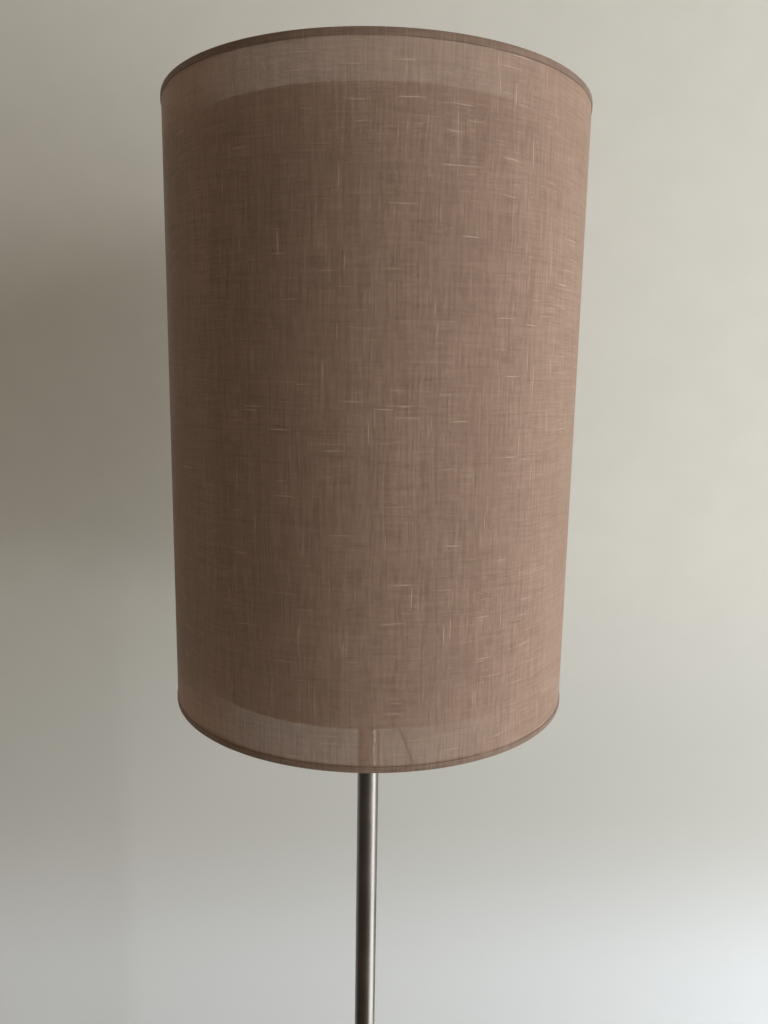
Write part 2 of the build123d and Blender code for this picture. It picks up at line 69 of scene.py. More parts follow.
def startFresh():
    # operators act on whatever is selected, so nothing may be
    if bpy.context.object and bpy.context.object.mode != "OBJECT":
        bpy.ops.object.mode_set(mode="OBJECT")
    bpy.ops.object.select_all(action="DESELECT")
    bpy.context.view_layer.objects.active = None


def pickOnly(piece):
    startFresh()
    piece.select_set(True)
    bpy.context.view_layer.objects.active = piece


def editMode(kind="VERT"):
    bpy.context.tool_settings.mesh_select_mode = [kind == each for each in ("VERT", "EDGE", "FACE")]
    bpy.ops.object.mode_set(mode="EDIT")


def editAll():
    editMode()
    bpy.ops.mesh.select_all(action="SELECT")


def editOnly(piece, kind, wanted):
    # edit mode with just the vertices or faces that the test picks out
    pickOnly(piece)
    mesh = piece.data
    for part in (*mesh.vertices, *mesh.edges, *mesh.polygons):
        part.select = False
    for part in {"VERT": mesh.vertices, "FACE": mesh.polygons}[kind]:
        part.select = wanted(part)
    editMode(kind)


def leaveEdit():
    bpy.ops.object.mode_set(mode="OBJECT")


def takeNew(name):
    # the primitive that was just added, with its place put into its mesh
    piece = bpy.context.object
    piece.name = name
    bpy.ops.object.transform_apply(location=True, rotation=True, scale=True)
    return piece


def applyModifier(piece, kind, **settings):
    pickOnly(piece)
    step = piece.modifiers.new(kind.title(), kind)
    for setting, value in settings.items():
        setattr(step, setting, value)
    bpy.ops.object.modifier_apply(modifier=step.name)


def roundEdges(piece, width, segments=3, angle=25):
    applyModifier(piece, "BEVEL", width=width, segments=segments, limit_method="ANGLE",
                  angle_limit=radians(angle))


def startLine(name, place):
    # a tiny plane merged into one vertex, ready to be extruded into a line
    startFresh()
    bpy.ops.mesh.primitive_plane_add(size=mm, location=place)
    piece = takeNew(name)
    editAll()
    bpy.ops.mesh.merge(type="CENTER")
    return piece


def turnOnLathe(name, points, sides=128, closed=True):
    # an outline of (radius, height) points, spun about the pole's centreline into a closed shell
    if closed:
        points = points + points[:1]
    radius, height = points[0]
    piece = startLine(name, (radius, 0, height))
    piece.data.name = name
    for nextRadius, nextHeight in points[1:]:
        move = (nextRadius - radius, 0, nextHeight - height)
        bpy.ops.mesh.extrude_vertices_move(TRANSFORM_OT_translate={"value": move})
        radius, height = nextRadius, nextHeight
    bpy.ops.mesh.select_all(action="SELECT")
    bpy.ops.mesh.spin(steps=sides, angle=2 * pi, center=(0, 0, 0), axis=(0, 0, 1))
    bpy.ops.mesh.select_all(action="SELECT")
    bpy.ops.mesh.remove_doubles(threshold=0.01 * mm)
    bpy.ops.mesh.select_all(action="SELECT")
    bpy.ops.mesh.delete_loose(use_verts=True, use_edges=True, use_faces=False)
    bpy.ops.mesh.select_all(action="SELECT")
    bpy.ops.mesh.normals_make_consistent(inside=False)
    leaveEdit()
    return piece


def arcOfPoints(centre, radius, start, end, steps=8):
    turned = [start + (end - start) * step / steps for step in range(steps + 1)]
    return [(centre[0] + radius * cos(radians(a)), centre[1] + radius * sin(radians(a))) for a in turned]


def smoothEdges(piece, angle=35):
    pickOnly(piece)
    bpy.ops.object.shade_smooth_by_angle(angle=radians(angle))


def giveMaterial(piece, *chosen):
    piece.data.materials.clear()
    for material in chosen:
        piece.data.materials.append(material)


def rideAndReplace(piece, body, node):
    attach(piece, body)
    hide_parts(node)


def finishPiece(piece, finish, body, node, angle=35):
    # edges sharper than the angle stay crisp
    smoothEdges(piece, angle)
    giveMaterial(piece, materials[finish])
    rideAndReplace(piece, body, node)


def newMaterial(name):
    material = bpy.data.materials.new(name)
    material.use_nodes = True
    tree = material.node_tree
    return material, tree, tree.nodes["Principled BSDF"]


def addNode(tree, kind, **settings):
    node = tree.nodes.new(kind)
    for setting, value in settings.items():
        setattr(node, setting, value)
    return node


def feed(tree, socket, value):
    # the value is a number, a colour or another node's output
    if isinstance(value, bpy.types.NodeSocket):
        tree.links.new(value, socket)
    else:
        socket.default_value = value


def feedAll(tree, node, values):
    for label, value in values.items():
        feed(tree, node.inputs[label], value)


def mathNode(tree, operation, *values, clamp=False):
    node = addNode(tree, "ShaderNodeMath", operation=operation, use_clamp=clamp)
    for socket, value in zip(node.inputs, values):
        feed(tree, socket, value)
    return node.outputs[0]


def rangeNode(tree, value, low, high, toLow=0.0, toHigh=1.0, smooth=True):
    node = addNode(tree, "ShaderNodeMapRange", interpolation_type="SMOOTHSTEP" if smooth else "LINEAR")
    feedAll(tree, node, {"Value": value, "From Min": low, "From Max": high, "To Min": toLow,
                         "To Max": toHigh})
    return node.outputs["Result"]


def stretched(tree, vector, along, detail=2.0, roughness=0.5, dimensions="3D", offset=(0, 0, 0)):
    # noise drawn out along the axes: along holds the size of its grain each way, in metres
    mapping = addNode(tree, "ShaderNodeMapping")
    feedAll(tree, mapping, {"Vector": vector, "Location": offset, "Scale": [1 / size for size in along]})
    noise = addNode(tree, "ShaderNodeTexNoise", noise_dimensions=dimensions)
    feedAll(tree, noise, {"Vector": mapping.outputs["Vector"], "Scale": 1.0, "Detail": detail,
                          "Roughness": roughness})
    return noise.outputs["Fac"]


def mixColours(tree, factor, first, second):
    node = addNode(tree, "ShaderNodeMix", data_type="RGBA")
    # a mix node keeps its colour sockets after those of its other kinds
    for number, value in ((0, factor), (6, first), (7, second)):
        feed(tree, node.inputs[number], value)
    return node.outputs[2]


def mixShaders(tree, factor, first, second):
    node = addNode(tree, "ShaderNodeMixShader")
    for socket, value in zip(node.inputs, (factor, first, second)):
        feed(tree, socket, value)
    return node.outputs[0]


def objectPlace(tree):
    return addNode(tree, "ShaderNodeTexCoord").outputs["Object"]


def splitVector(tree, vector):
    split = addNode(tree, "ShaderNodeSeparateXYZ")
    tree.links.new(vector, split.inputs[0])
    return split.outputs


def addBump(tree, shader, height, distance, strength=1.0):
    bump = addNode(tree, "ShaderNodeBump")
    feedAll(tree, bump, {"Height": height, "Distance": distance, "Strength": strength})
    tree.links.new(bump.outputs["Normal"], shader.inputs["Normal"])
    return bump


def newGroup(name, inputs, outputs):
    group = bpy.data.node_groups.new(name, "ShaderNodeTree")
    for label, kind, value in inputs:
        socket = group.interface.new_socket(label, in_out="INPUT", socket_type=kind)
        if value is not None:
            socket.default_value = value
    for label, kind in outputs:
        group.interface.new_socket(label, in_out="OUTPUT", socket_type=kind)
    return group, group.nodes.new("NodeGroupInput"), group.nodes.new("NodeGroupOutput")


def placeGroup(tree, group, values):
    node = addNode(tree, "ShaderNodeGroup", node_tree=group)
    feedAll(tree, node, values)
    return node


linen = {
    "yarn": (0.365, 0.258, 0.2, 1),
    "shadow": (0.19, 0.127, 0.094, 1),
    "slub": (0.45, 0.352, 0.283, 1),
    "lightThrough": (0.42, 0.28, 0.2, 1),
    "throughShare": 0.2,
    "threadPitch": 0.7 * mm,
    "threadHalfWidth": 0.285,   # as a share of the pitch; what is left over is the pore
    "threadHeight": 0.12 * mm,
    "bumpStrength": 0.8,
    "threadRun": 55 * mm,       # how far along itself a thread keeps one shade
    "thickRun": 9 * mm,
    "thickSwing": 0.24,
    "coverEdge": (0.85, 1.2),
    "slubLength": 38 * mm,
    "slubRange": (0.685, 0.865),
    "slubSwell": 0.14,
    "slubLead": 0.9,            # how strongly a slub comes to the top at a crossing
    "crossingEdge": 0.12,
    "barWidth": 1.4 * mm,
    "barRun": 42 * mm,
    "barShare": 0.5,
    "wanderLength": (60 * mm, 38 * mm),
    "warpWander": 2.4 * mm,
    "weftWander": 2.0 * mm,
    "cloudSize": (110 * mm, 150 * mm),
    "cloudDepth": 0.14,
    "insideThread": 0.45,       # how much the glued back of the cloth hides at a thread
    "insidePore": 0.12,
    "closingSlant": (0.14, 0.54),   # round yarns close the pores as the cloth turns away
    "warpContrast": 0.115,
    "weftContrast": 0.2,
    "roughness": 0.88,
    "specular": 0.22,
    "sheen": 0.15,
    "sheenRoughness": 0.45,
    # painted shade: the hem's yarn colours are darkened, standing in for the light that its doubled cloth
    # keeps from coming through
    "hemPaintedShade": 0.6,           # the hem's doubled cloth lets no light through
}


def addThreads(group, along, across, seed, contrast):
    # one set of threads; every row has its own shade, thickness and slubs
    rows = mathNode(group, "DIVIDE", across, linen["threadPitch"])
    row = mathNode(group, "FLOOR", rows)
    offCentre = mathNode(group, "ABSOLUTE", mathNode(group, "SUBTRACT", mathNode(group, "FRACT", rows), 0.5))

    def runNoise(row, length, jump, detail, roughness=0.6):
        # the jump sets one row's noise apart from the next one's
        place = addNode(group, "ShaderNodeCombineXYZ")
        feedAll(group, place, {"X": mathNode(group, "DIVIDE", along, length),
                               "Y": mathNode(group, "MULTIPLY_ADD", row, jump, seed)})
        noise = addNode(group, "ShaderNodeTexNoise", noise_dimensions="2D")
        feedAll(group, noise, {"Vector": place.outputs[0], "Scale": 1.0, "Detail": detail,
                               "Roughness": roughness})
        return noise.outputs["Fac"]

    # neighbouring threads from one spool make faint bars
    barRow = mathNode(group, "FLOOR", mathNode(group, "DIVIDE", across, linen["barWidth"]))
    own = runNoise(row, linen["threadRun"], 7.31, 2.5, 0.75)
    bars = runNoise(barRow, linen["barRun"], 9.17, 2.5, 0.75)
    shade = mathNode(group, "ADD", mathNode(group, "MULTIPLY", own, 1 - linen["barShare"]),
                     mathNode(group, "MULTIPLY", bars, linen["barShare"]))
    shade = rangeNode(group, shade, 0.5 - contrast, 0.5 + contrast, smooth=False)
    thick = runNoise(row, linen["thickRun"], 5.17, 1.0)
    slub = rangeNode(group, runNoise(row, linen["slubLength"], 11.73, 1.0), *linen["slubRange"])
    thinnest = linen["threadHalfWidth"] - linen["thickSwing"] / 2
    halfWidth = mathNode(group, "MULTIPLY_ADD", thick, linen["thickSwing"], thinnest)
    halfWidth = mathNode(group, "MULTIPLY_ADD", slub, linen["slubSwell"], halfWidth)
    share = mathNode(group, "DIVIDE", offCentre, halfWidth)
    cover = rangeNode(group, share, *linen["coverEdge"], 1.0, 0.0)
    crown = mathNode(group, "SUBTRACT", 1.0, mathNode(group, "MULTIPLY", share, share), clamp=True)
    wave = mathNode(group, "SINE", mathNode(group, "MULTIPLY", rows, pi))
    return {"shade": shade, "slub": slub, "cover": cover, "crown": crown, "wave": wave}


def makeLinenGroup():
    # plain weave on (metres around, metres up); density is 1 on a thread and 0 in a pore
    group, entry, end = newGroup(
        "linenWeave",
        [("Vector", "NodeSocketVector", None), ("Yarn", "NodeSocketColor", linen["yarn"]),
         ("Shadow", "NodeSocketColor", linen["shadow"]), ("Slub", "NodeSocketColor", linen["slub"])],
        [("Color", "NodeSocketColor"), ("Height", "NodeSocketFloat"), ("Density", "NodeSocketFloat")])
    place = entry.outputs["Vector"]
    yarn, shadow, slub = (entry.outputs[label] for label in ("Yarn", "Shadow", "Slub"))
    split = splitVector(group, place)
    # threads wander a little from a straight line
    long, short = linen["wanderLength"]
    sway = stretched(group, place, (long, short, 1), dimensions="2D", offset=(3, 7, 0))
    rise = stretched(group, place, (short, long, 1), dimensions="2D", offset=(8, 2, 0))
    around = mathNode(group, "MULTIPLY_ADD", sway, linen["warpWander"], split["X"])
    up = mathNode(group, "MULTIPLY_ADD", rise, linen["weftWander"], split["Y"])
    warp = addThreads(group, up, around, 0.37, linen["warpContrast"])
    weft = addThreads(group, around, up, 43.1, linen["weftContrast"])
    # the warp is on top where the two waves agree, and a thick slub always shows
    crossing = mathNode(group, "MULTIPLY", warp["wave"], weft["wave"])
    lead = mathNode(group, "SUBTRACT", warp["slub"], weft["slub"])
    crossing = mathNode(group, "MULTIPLY_ADD", lead, linen["slubLead"], crossing)
    onTop = rangeNode(group, crossing, -linen["crossingEdge"], linen["crossingEdge"])
    warpAlone = mathNode(group, "SUBTRACT", 1.0, weft["cover"])
    onTop = mathNode(group, "MAXIMUM", onTop, warpAlone)
    warpShows = mathNode(group, "MULTIPLY", warp["cover"], onTop, clamp=True)
    tones = []
    for threads in (warp, weft):
        tone = mixColours(group, threads["shade"], shadow, yarn)
        tones.append(mixColours(group, threads["slub"], tone, slub))
    tint = mixColours(group, warpShows, tones[1], tones[0])
    cloud = stretched(group, place, (*linen["cloudSize"], 1), detail=3.0, dimensions="2D", offset=(1, 2, 0))
    tint = mixColours(group, rangeNode(group, cloud, 0.3, 0.7, 0.0, linen["cloudDepth"]), tint, shadow)
    warpLift = mathNode(group, "MULTIPLY_ADD", crossing, 0.5, 0.5, clamp=True)
    weftLift = mathNode(group, "SUBTRACT", 1.0, warpLift)
    height = mathNode(group, "MAXIMUM", mathNode(group, "MULTIPLY", warp["crown"], warpLift),
                      mathNode(group, "MULTIPLY", weft["crown"], weftLift))
    density = mathNode(group, "MAXIMUM", warp["cover"], weft["cover"])
    feedAll(group, end, {"Color": tint, "Height": height, "Density": density})
    return group


steel = {
    "metal": (0.62, 0.585, 0.54, 1),
    "worn": (0.47, 0.44, 0.40, 1),
    "coarseGrain": (0.35 * mm, 45 * mm, 0.35 * mm),
    "fineGrain": (0.12 * mm, 16 * mm, 0.12 * mm),
    "smudgeSize": (35 * mm, 50 * mm, 35 * mm),
    "coarseShare": 0.6,
    "scratchDepth": 0.006 * mm,
    "scratchStrength": 0.4,
    "poleRoughness": 0.34,
    "footRoughness": 0.32,
    "smoother": 0.08,           # how much smoother the metal is between its scratches
    "smudgeRougher": 0.06,
    "turnedRadius": 0.1,        # grain that runs round is measured as if at this radius
}


def makeBrushingGroup():
    # fine scratches in one direction, from a vector whose grain already lies along Y
    group, entry, end = newGroup(
        "brushedGrain",
        [("Vector", "NodeSocketVector", None), ("Metal", "NodeSocketColor", steel["metal"]),
         ("Worn", "NodeSocketColor", steel["worn"])],
        [("Color", "NodeSocketColor"), ("Scratches", "NodeSocketFloat"), ("Smudges", "NodeSocketFloat")])
    place = entry.outputs["Vector"]
    coarse = stretched(group, place, steel["coarseGrain"], detail=3.0, roughness=0.7)
    fine = stretched(group, place, steel["fineGrain"], roughness=0.6, offset=(4, 9, 2))
    scratches = mathNode(group, "ADD", mathNode(group, "MULTIPLY", coarse, steel["coarseShare"]),
                         mathNode(group, "MULTIPLY", fine, 1 - steel["coarseShare"]))
    smudges = rangeNode(group, stretched(group, place, steel["smudgeSize"], detail=4.0), 0.42, 0.68)
    polished = rangeNode(group, scratches, 0.35, 0.62)
    tint = mixColours(group, polished, entry.outputs["Worn"], entry.outputs["Metal"])
    feedAll(group, end, {"Color": tint, "Scratches": scratches, "Smudges": smudges})
    return group


skin = {
    "grainSize": 0.5 * mm,
    "cloudSize": 26 * mm,
    "grainShare": 0.35,
    "edge": (0.35, 0.65),
    "rougher": 0.07,
    "smoother": 0.05,
    "bumpStrength": 0.6,
}


def makeSkinGroup():
    # a cast, moulded or painted skin: fine grain and broad cloudiness
    group, entry, end = newGroup(
        "mouldedSkin",
        [("Vector", "NodeSocketVector", None), ("Body", "NodeSocketColor", (0.5, 0.5, 0.5, 1)),
         ("Second", "NodeSocketColor", (0.4, 0.4, 0.4, 1)), ("Grain Size", "NodeSocketFloat", 1.0)],
        [("Color", "NodeSocketColor"), ("Grain", "NodeSocketFloat"), ("Cloud", "NodeSocketFloat")])
    scaled = addNode(group, "ShaderNodeVectorMath", operation="SCALE")
    feedAll(group, scaled, {"Vector": entry.outputs["Vector"],
                            "Scale": mathNode(group, "DIVIDE", 1.0, entry.outputs["Grain Size"])})
    place = scaled.outputs[0]
    grain = stretched(group, place, [skin["grainSize"]] * 3, detail=3.0, roughness=0.6)
    cloud = stretched(group, place, [skin["cloudSize"]] * 3, detail=4.0, offset=(5, 3, 8))
    fine = mathNode(group, "MULTIPLY", rangeNode(group, grain, *skin["edge"]), skin["grainShare"])
    broad = mathNode(group, "MULTIPLY", rangeNode(group, cloud, *skin["edge"]), 1 - skin["grainShare"])
    share = mathNode(group, "ADD", fine, broad)
    tint = mixColours(group, share, entry.outputs["Body"], entry.outputs["Second"])
    feedAll(group, end, {"Color": tint, "Grain": grain, "Cloud": cloud})
    return group


linenGroup = makeLinenGroup()
brushingGroup = makeBrushingGroup()
skinGroup = makeSkinGroup()
print("node groups ready")


def makeLinen(name, side):
    # side is the cloth's face, its glued back, or a hem of doubled cloth with no pores
    material, tree, shader = newMaterial(name)
    unwrapped = addNode(tree, "ShaderNodeUVMap", uv_map="woven").outputs["UV"]
    # painted shade: a hem gets darker copies of the linen's colours
    darker = linen["hemPaintedShade"] if side == "hem" else 1.0
    colours = {part.title(): [*(value * darker for value in linen[part][:3]), 1]
               for part in ("yarn", "slub", "shadow")}
    weave = placeGroup(tree, linenGroup, {"Vector": unwrapped, **colours})
    feedAll(tree, shader, {"Base Color": weave.outputs["Color"], "Roughness": linen["roughness"],
                           "Specular IOR Level": linen["specular"], "Sheen Weight": linen["sheen"],
                           "Sheen Roughness": linen["sheenRoughness"]})
    bump = addBump(tree, shader, weave.outputs["Height"], linen["threadHeight"], linen["bumpStrength"])
    density = weave.outputs["Density"]
    if side == "hem":
        return material
    if side == "face":
        slant = addNode(tree, "ShaderNodeLayerWeight")
        slant.inputs["Blend"].default_value = 0.5
        closing = rangeNode(tree, slant.outputs["Facing"], *linen["closingSlant"])
        hides = mathNode(tree, "MAXIMUM", density, closing)
    else:
        hides = rangeNode(tree, density, 0, 1, linen["insidePore"], linen["insideThread"], smooth=False)
    tree.links.new(hides, shader.inputs["Alpha"])
    glow = addNode(tree, "ShaderNodeBsdfTranslucent")
    feedAll(tree, glow, {"Color": linen["lightThrough"], "Normal": bump.outputs["Normal"]})
    # the light that comes through is held back in the pores, where there is no yarn to catch it
    clear = addNode(tree, "ShaderNodeBsdfTransparent")
    held = mixShaders(tree, hides, clear.outputs[0], glow.outputs[0])
    mixed = mixShaders(tree, linen["throughShare"], shader.outputs[0], held)
    tree.links.new(mixed, tree.nodes["Material Output"].inputs["Surface"])
    return material


def makeBrushedSteel(name, lengthwise, roughness):
    # lengthwise grain runs up the pole; otherwise it runs round the centreline
    material, tree, shader = newMaterial(name)
    split = splitVector(tree, objectPlace(tree))
    joined = addNode(tree, "ShaderNodeCombineXYZ")
    if lengthwise:
        feedAll(tree, joined, {"X": split["X"], "Y": split["Z"], "Z": split["Y"]})
    else:
        squares = mathNode(tree, "ADD", mathNode(tree, "MULTIPLY", split["X"], split["X"]),
                           mathNode(tree, "MULTIPLY", split["Y"], split["Y"]))
        angle = mathNode(tree, "ARCTAN2", split["Y"], split["X"])
        along = mathNode(tree, "MULTIPLY", angle, steel["turnedRadius"])
        feedAll(tree, joined, {"X": mathNode(tree, "SQRT", squares), "Y": along, "Z": split["Z"]})
    grain = placeGroup(tree, brushingGroup, {"Vector": joined.outputs[0], "Metal": steel["metal"],
                                             "Worn": steel["worn"]})
    scratched = rangeNode(tree, grain.outputs["Scratches"], 0.3, 0.7, roughness,
                          roughness - steel["smoother"])
    smudged = mathNode(tree, "MULTIPLY", grain.outputs["Smudges"], steel["smudgeRougher"])
    feedAll(tree, shader, {"Base Color": grain.outputs["Color"], "Metallic": 1.0,
                           "Roughness": mathNode(tree, "ADD", scratched, smudged)})
    addBump(tree, shader, grain.outputs["Scratches"], steel["scratchDepth"], steel["scratchStrength"])
    return material


def makeSkin(name, body, second, roughness, grainSize=1.0, bump=0.02 * mm, metallic=0.0, coat=0.0,
             specular=0.5):
    material, tree, shader = newMaterial(name)
    surface = placeGroup(tree, skinGroup, {"Vector": objectPlace(tree), "Body": (*body, 1),
                                           "Second": (*second, 1), "Grain Size": grainSize})
    rough = rangeNode(tree, surface.outputs["Cloud"], 0.3, 0.7, roughness - skin["smoother"],
                      roughness + skin["rougher"])
    feedAll(tree, shader, {"Base Color": surface.outputs["Color"], "Roughness": rough, "Metallic": metallic,
                           "Coat Weight": coat, "Specular IOR Level": specular})
    addBump(tree, shader, surface.outputs["Grain"], bump, skin["bumpStrength"])
    return material


laminate = {
    "body": (0.8, 0.77, 0.72, 1),
    "second": (0.7, 0.67, 0.62, 1),
    "grainSize": 2.0,
    "roughness": 0.35,
    "haze": (0.04, 0.1),
}


def makeLaminate():
    material, tree, shader = newMaterial("clearLaminate")
    surface = placeGroup(tree, skinGroup, {"Vector": objectPlace(tree), "Body": laminate["body"],
                                           "Second": laminate["second"], "Grain Size": laminate["grainSize"]})
    haze = rangeNode(tree, surface.outputs["Grain"], 0.3, 0.7, *laminate["haze"])
    feedAll(tree, shader, {"Base Color": surface.outputs["Color"], "Roughness": laminate["roughness"],
                           "Alpha": haze})
    return material


# a skin is given its two colours, then its roughness, grain size and depth of bump
materials = {
    "cloth": makeLinen("shadeLinen", "face"),
    "clothBack": makeLinen("shadeLinenBack", "back"),
    "hem": makeLinen("hemLinen", "hem"),
    "laminate": makeLaminate(),
    "diffuser": makeSkin("diffuserWhite", (0.8, 0.79, 0.75), (0.74, 0.725, 0.68), 0.62, 2.0),
    "frameWhite": makeSkin("whiteWireFrame", (0.75, 0.74, 0.7), (0.7, 0.69, 0.65), 0.4, 1.2, coat=0.2),
    "pole": makeBrushedSteel("poleSteel", True, steel["poleRoughness"]),
    "foot": makeBrushedSteel("footSteel", False, steel["footRoughness"]),
    "castWeight": makeSkin("castWeight", (0.05, 0.05, 0.05), (0.09, 0.085, 0.08), 0.75, 3.0, 0.15 * mm),
    "foam": makeSkin("floorFoam", (0.03, 0.03, 0.03), (0.05, 0.05, 0.048), 0.92, 2.0, 0.15 * mm),
    "grommet": makeSkin("grommetRubber", (0.02, 0.02, 0.02), (0.035, 0.035, 0.034), 0.6),
    "zinc": makeSkin("zincSteel", (0.62, 0.63, 0.65), (0.5, 0.51, 0.54), 0.34, 4.0, 0.01 * mm,
                     metallic=1.0),
    "brass": makeSkin("contactBrass", (0.72, 0.53, 0.24), (0.6, 0.43, 0.18), 0.3, 2.0, 0.01 * mm,
                      metallic=1.0),
    "nylon": makeSkin("terminalNylon", (0.72, 0.7, 0.63), (0.66, 0.64, 0.57), 0.5),
    "liveVinyl": makeSkin("liveVinyl", (0.16, 0.06, 0.02), (0.12, 0.045, 0.018), 0.4),
    "neutralVinyl": makeSkin("neutralVinyl", (0.03, 0.1, 0.36), (0.025, 0.08, 0.28), 0.4),
    "holderBlack": makeSkin("holderBlack", (0.022, 0.022, 0.023), (0.035, 0.035, 0.036), 0.42, 1.0,
                            0.03 * mm),
    "porcelain": makeSkin("holderPorcelain", (0.82, 0.81, 0.76), (0.77, 0.755, 0.7), 0.18, 3.0, 0.01 * mm,
                          coat=0.6),
    "rolledMetal": makeSkin("rolledMetal", (0.76, 0.76, 0.77), (0.62, 0.62, 0.63), 0.26, 2.0, 0.01 * mm,
                            metallic=1.0),
    "capInsulator": makeSkin("capInsulator", (0.012, 0.011, 0.014), (0.02, 0.018, 0.022), 0.12, 2.0),
    "opal": makeSkin("opalGlobe", (0.86, 0.86, 0.84), (0.82, 0.82, 0.8), 0.3, 4.0, 0.005 * mm, coat=0.3),
    "housing": makeSkin("bulbHousing", (0.82, 0.82, 0.8), (0.78, 0.78, 0.76), 0.36, 2.0),
    "board": makeSkin("circuitBoard", (0.75, 0.75, 0.7), (0.6, 0.62, 0.55), 0.5, 3.0),
}
print("materials ready:", len(materials))

# the CAD nodes that stay, by what they are made of
nodeFinishes = {
    "grommet": ["cord_grommet"],
    "castWeight": ["base_weight"],
    "zinc": ["service_plate", "service_screws", "foot_nipple", "foot_washer", "foot_lock_washer", "foot_nut",
             "lower_pole_foot_insert", "lower_pole_top_insert", "upper_pole_foot_insert",
             "upper_pole_top_insert", "joint_nipple", "holder_nipple", "holder_core_screws",
             "terminal_screws"],
    "brass": ["terminal_barrels", "centre_contact", "switch_contacts", "bulb_eyelet"],
    "nylon": ["terminal_block"],
    "liveVinyl": ["live_wire"],
    "neutralVinyl": ["neutral_wire"],
    "holderBlack": ["switch_shaft", "switch_rotor"],
    "porcelain": ["holder_core"],
    "rolledMetal": ["screw_shell"],
    "capInsulator": ["bulb_insulator"],
    "board": ["bulb_led_board", "bulb_driver_board"],
}
for finish, nodes in nodeFinishes.items():
    for node in nodes:
        giveMaterial(frame["nodes"][node], materials[finish])


sheetMaking = {
    "clothBelowHem": 0.6 * mm,
    "clothThickness": 0.35 * mm,
    "filmGap": 0.02 * mm,
    "filmThickness": 0.38 * mm,
    "diffuserThickness": 0.5 * mm,
    "lap": 13 * mm,
    "lapStep": 0.5 * mm,
    "lapColumns": 4,
    "around": 240,
    "up": 48,
}


def unwrapAround(piece, radius):
    # metres round the lamp and metres up, counted from the front so that the join lies at the back
    mesh = piece.data
    layer = mesh.uv_layers.new(name="woven")
    for face in mesh.polygons:
        middle = atan2(face.center.x, -face.center.y)
        for loop in face.loop_indices:
            corner = mesh.vertices[mesh.loops[loop].vertex_index].co
            angle = atan2(corner.x, -corner.y)
            angle += 2 * pi * round((middle - angle) / (2 * pi))
            inward = radius - sqrt(corner.x ** 2 + corner.y ** 2)
            layer.data[loop].uv = (angle * radius, corner.z + inward)


def rollSheet(name, radius, low, high, thickness, faces):
    # rolled once round and lapped over itself at the back, where it is glued
    sheet = startLine(name, (0, radius, low))
    rise = (high - low) / sheetMaking["up"]
    for step in range(sheetMaking["up"]):
        bpy.ops.mesh.extrude_vertices_move(TRANSFORM_OT_translate={"value": (0, 0, rise)})
    bpy.ops.mesh.select_all(action="SELECT")
    bpy.ops.mesh.spin(steps=sheetMaking["around"], angle=2 * pi, center=(0, 0, 0), axis=(0, 0, 1),
                      use_auto_merge=False)
    bpy.ops.transform.translate(value=(0, sheetMaking["lapStep"], 0))
    bpy.ops.mesh.spin(steps=sheetMaking["lapColumns"], angle=sheetMaking["lap"] / radius, center=(0, 0, 0),
                      axis=(0, 0, 1), use_auto_merge=False)
    leaveEdit()
    face = sheet.data.polygons[0]
    if face.normal.dot(Vector((face.center.x, face.center.y, 0))) < 0:
        pickOnly(sheet)
        editAll()
        bpy.ops.mesh.flip_normals()
        leaveEdit()
    giveMaterial(sheet, *faces)
    applyModifier(sheet, "SOLIDIFY", thickness=thickness, offset=-1, material_offset=len(faces) - 1)
    smoothEdges(sheet)
    return sheet


def makeCloth():
    radius = shadeRadius - sheetMaking["clothBelowHem"]
    low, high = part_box("shade_fabric")
    cloth = rollSheet("linenCloth", radius, low.z, high.z, sheetMaking["clothThickness"],
                      [materials["cloth"], materials["clothBack"]])
    unwrapAround(cloth, radius)
    rideAndReplace(cloth, "shade", "shade_fabric")


def makeFilm():
    low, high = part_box("shade_film")
    clothInside = shadeRadius - sheetMaking["clothBelowHem"] - sheetMaking["clothThickness"]
    outer = clothInside - sheetMaking["filmGap"]
    inner = outer - sheetMaking["filmThickness"]
    film = turnOnLathe("laminateFilm", [(outer, low.z), (outer, high.z), (inner, high.z), (inner, low.z)],
                       sides=sheetMaking["around"])
    finishPiece(film, "laminate", "shade", "shade_film")


def makeDiffuser():
    low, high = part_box("inner_diffuser")
    tube = rollSheet("diffuserTube", high.x - sheetMaking["lapStep"], low.z, high.z,
                     sheetMaking["diffuserThickness"], [materials["diffuser"]])
    rideAndReplace(tube, "shade", "inner_diffuser")


hemTape = {
    "thickness": 0.5 * mm,
    "outsideHeight": 5.2 * mm,
    "insideHeight": 4.0 * mm,
    "edgeRound": 0.25 * mm,
    "rimRound": 1.3 * mm,
    "rimSteps": 5,
    "tuckedIn": 4.1 * mm,
}


def makeHem(name, rim, way, node):
    # folded over the hoop: down the outside, round the rim and a little way up the inside
    curve, thick, steps = hemTape["rimRound"], hemTape["thickness"], hemTape["rimSteps"]
    outside = shadeRadius
    inside = shadeRadius - hemTape["tuckedIn"] - thick
    outsideTop = rim + way * hemTape["outsideHeight"]
    insideTop = rim + way * hemTape["insideHeight"]
    outerCentre, innerCentre = (outside - curve, rim + way * curve), (inside + curve, rim + way * curve)
    outerEdge = arcOfPoints(outerCentre, curve, 0, -90 * way, steps)
    innerEdge = arcOfPoints(innerCentre, curve, -90 * way, -180 * way, steps)
    innerBack = arcOfPoints(innerCentre, curve - thick, -180 * way, -90 * way, steps)
    outerBack = arcOfPoints(outerCentre, curve - thick, -90 * way, 0, steps)
    points = [(outside - thick, outsideTop), (outside, outsideTop - way * hemTape["edgeRound"]), *outerEdge,
              *innerEdge, (inside, insideTop), (inside + thick, insideTop), *innerBack, *outerBack]
    hem = turnOnLathe(name, points, sides=sheetMaking["around"])
    unwrapAround(hem, shadeRadius)
    finishPiece(hem, "hem", "shade", node, 50)


makeCloth()
makeFilm()
makeDiffuser()
makeHem("bottomHem", shadeBottom, 1, "bottom_hem_tape")
makeHem("topHem", shadeTop, -1, "top_hem_tape")
print("shade made")


